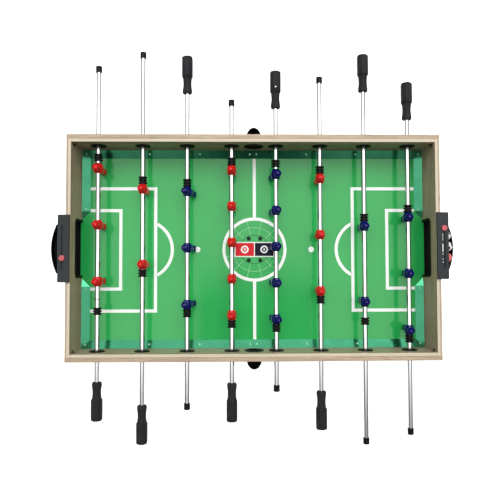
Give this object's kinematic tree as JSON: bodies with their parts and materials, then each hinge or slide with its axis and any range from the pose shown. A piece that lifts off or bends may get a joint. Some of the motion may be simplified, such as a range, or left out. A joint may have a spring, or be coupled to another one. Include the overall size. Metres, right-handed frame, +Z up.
{
  "type": "foosball table",
  "caption": "Foosball table: open cabinet with a printed field, through rods carrying moulded men, rubber grips, goals with ball return cups, sliding score markers, legs on levelers.",
  "frame": {"origin": "on the floor under the middle of the cabinet", "axes": "+X along the table's length towards the cup that holds the balls, +Y across it towards the back, +Z up"},
  "size_m": [1.406, 1.3265, 0.8933],
  "materials": {
    "cabinet_wood": "light oak laminate, satin",
    "field_print": "printed green field laminate, satin",
    "hardboard": "plain hardboard",
    "ramp_plastic": "clear green plastic",
    "white_screw": "white painted heads",
    "black_plastic": "moulded black plastic",
    "charcoal_plastic": "moulded charcoal plastic",
    "marker_plastic": "glossy red",
    "leg_wood": "light oak laminate, satin",
    "black_bolt": "black oxide",
    "leveler_plastic": "black nylon",
    "rod_chrome": "polished chrome tube",
    "men_red": "glossy red",
    "men_blue": "glossy navy blue",
    "grip_rubber": "charcoal grip rubber",
    "bumper_rubber": "black rubber",
    "ball_plastic": "white with dark patches"
  },
  "bodies": {
    "cabinet": {"side_panels": "cabinet_wood", "end_panels": "cabinet_wood", "playfield": "field_print", "bottom_panel": "hardboard", "edge_ramps": "ramp_plastic", "ramp_screws": "white_screw", "goal_frames": "black_plastic", "ball_return_cups": "black_plastic", "score_plates": "charcoal_plastic", "ball_entries": "black_plastic", "legs": "leg_wood", "leg_bolts": "black_bolt", "rod_bearings": "black_plastic"},
    "rod1_bumper_set": {"rod1_bumpers": "bumper_rubber"},
    "rod1": {"rod1_bar": "rod_chrome", "rod1_men": "men_red", "rod1_handle": "grip_rubber", "rod1_end_cap": "bumper_rubber"},
    "rod2_bumper_set": {"rod2_bumpers": "bumper_rubber"},
    "rod2": {"rod2_bar": "rod_chrome", "rod2_men": "men_red", "rod2_handle": "grip_rubber", "rod2_end_cap": "bumper_rubber"},
    "rod3_bumper_set": {"rod3_bumpers": "bumper_rubber"},
    "rod3": {"rod3_bar": "rod_chrome", "rod3_men": "men_blue", "rod3_handle": "grip_rubber", "rod3_end_cap": "bumper_rubber"},
    "rod4_bumper_set": {"rod4_bumpers": "bumper_rubber"},
    "rod4": {"rod4_bar": "rod_chrome", "rod4_men": "men_red", "rod4_handle": "grip_rubber", "rod4_end_cap": "bumper_rubber"},
    "rod5_bumper_set": {"rod5_bumpers": "bumper_rubber"},
    "rod5": {"rod5_bar": "rod_chrome", "rod5_men": "men_blue", "rod5_handle": "grip_rubber", "rod5_end_cap": "bumper_rubber"},
    "rod6_bumper_set": {"rod6_bumpers": "bumper_rubber"},
    "rod6": {"rod6_bar": "rod_chrome", "rod6_men": "men_red", "rod6_handle": "grip_rubber", "rod6_end_cap": "bumper_rubber"},
    "rod7_bumper_set": {"rod7_bumpers": "bumper_rubber"},
    "rod7": {"rod7_bar": "rod_chrome", "rod7_men": "men_blue", "rod7_handle": "grip_rubber", "rod7_end_cap": "bumper_rubber"},
    "rod8_bumper_set": {"rod8_bumpers": "bumper_rubber"},
    "rod8": {"rod8_bar": "rod_chrome", "rod8_men": "men_blue", "rod8_handle": "grip_rubber", "rod8_end_cap": "bumper_rubber"},
    "score_slider_left": {"score_slider_left": "marker_plastic"},
    "score_slider_right": {"score_slider_right": "marker_plastic"},
    "leveler_front_left": {"leveler_front_left": "leveler_plastic"},
    "leveler_front_right": {"leveler_front_right": "leveler_plastic"},
    "leveler_back_left": {"leveler_back_left": "leveler_plastic"},
    "leveler_back_right": {"leveler_back_right": "leveler_plastic"},
    "balls": {"balls": "ball_plastic"}
  },
  "joints": [
    {"name": "rod1_slide", "type": "slide", "parent": "cabinet", "child": "rod1_bumper_set", "axis": [0, 1, 0], "range_m": [-0.118, 0.024]},
    {"name": "rod1_spin", "type": "hinge", "parent": "rod1_bumper_set", "child": "rod1", "pos_m": [-0.525, 0, 0.821], "axis": [0, 1, 0], "continuous": true},
    {"name": "rod2_slide", "type": "slide", "parent": "cabinet", "child": "rod2_bumper_set", "axis": [0, 1, 0], "range_m": [-0.244, 0.1]},
    {"name": "rod2_spin", "type": "hinge", "parent": "rod2_bumper_set", "child": "rod2", "pos_m": [-0.375, 0, 0.821], "axis": [0, 1, 0], "continuous": true},
    {"name": "rod3_slide", "type": "slide", "parent": "cabinet", "child": "rod3_bumper_set", "axis": [0, 1, 0], "range_m": [-0.109, 0.109]},
    {"name": "rod3_spin", "type": "hinge", "parent": "rod3_bumper_set", "child": "rod3", "pos_m": [-0.225, 0, 0.821], "axis": [0, 1, 0], "continuous": true},
    {"name": "rod4_slide", "type": "slide", "parent": "cabinet", "child": "rod4_bumper_set", "axis": [0, 1, 0], "range_m": [-0.072, 0.036]},
    {"name": "rod4_spin", "type": "hinge", "parent": "rod4_bumper_set", "child": "rod4", "pos_m": [-0.075, 0, 0.821], "axis": [0, 1, 0], "continuous": true},
    {"name": "rod5_slide", "type": "slide", "parent": "cabinet", "child": "rod5_bumper_set", "axis": [0, 1, 0], "range_m": [-0.058, 0.043]},
    {"name": "rod5_spin", "type": "hinge", "parent": "rod5_bumper_set", "child": "rod5", "pos_m": [0.075, 0, 0.821], "axis": [0, 1, 0], "continuous": true},
    {"name": "rod6_slide", "type": "slide", "parent": "cabinet", "child": "rod6_bumper_set", "axis": [0, 1, 0], "range_m": [-0.153, 0.065]},
    {"name": "rod6_spin", "type": "hinge", "parent": "rod6_bumper_set", "child": "rod6", "pos_m": [0.225, 0, 0.821], "axis": [0, 1, 0], "continuous": true},
    {"name": "rod7_slide", "type": "slide", "parent": "cabinet", "child": "rod7_bumper_set", "axis": [0, 1, 0], "range_m": [-0.081, 0.227]},
    {"name": "rod7_spin", "type": "hinge", "parent": "rod7_bumper_set", "child": "rod7", "pos_m": [0.375, 0, 0.821], "axis": [0, 1, 0], "continuous": true},
    {"name": "rod8_slide", "type": "slide", "parent": "cabinet", "child": "rod8_bumper_set", "axis": [0, 1, 0], "range_m": [-0.021, 0.197]},
    {"name": "rod8_spin", "type": "hinge", "parent": "rod8_bumper_set", "child": "rod8", "pos_m": [0.525, 0, 0.821], "axis": [0, 1, 0], "continuous": true},
    {"name": "score_left_slide", "type": "slide", "parent": "cabinet", "child": "score_slider_left", "axis": [0, 1, 0], "range_m": [-0.0339, 0.1039]},
    {"name": "score_right_slide", "type": "slide", "parent": "cabinet", "child": "score_slider_right", "axis": [0, 1, 0], "range_m": [-0.1299, 0.0079]},
    {"name": "leveler_front_left_adjust", "type": "slide", "parent": "cabinet", "child": "leveler_front_left", "axis": [0, 0, -1], "range_m": [0, 0.02]},
    {"name": "leveler_front_right_adjust", "type": "slide", "parent": "cabinet", "child": "leveler_front_right", "axis": [0, 0, -1], "range_m": [0, 0.02]},
    {"name": "leveler_back_left_adjust", "type": "slide", "parent": "cabinet", "child": "leveler_back_left", "axis": [0, 0, -1], "range_m": [0, 0.02]},
    {"name": "leveler_back_right_adjust", "type": "slide", "parent": "cabinet", "child": "leveler_back_right", "axis": [0, 0, -1], "range_m": [0, 0.02]},
    {"name": "balls_lift", "type": "slide", "parent": "cabinet", "child": "balls", "axis": [0, 0, 1], "range_m": [0, 0.08]}
  ]
}
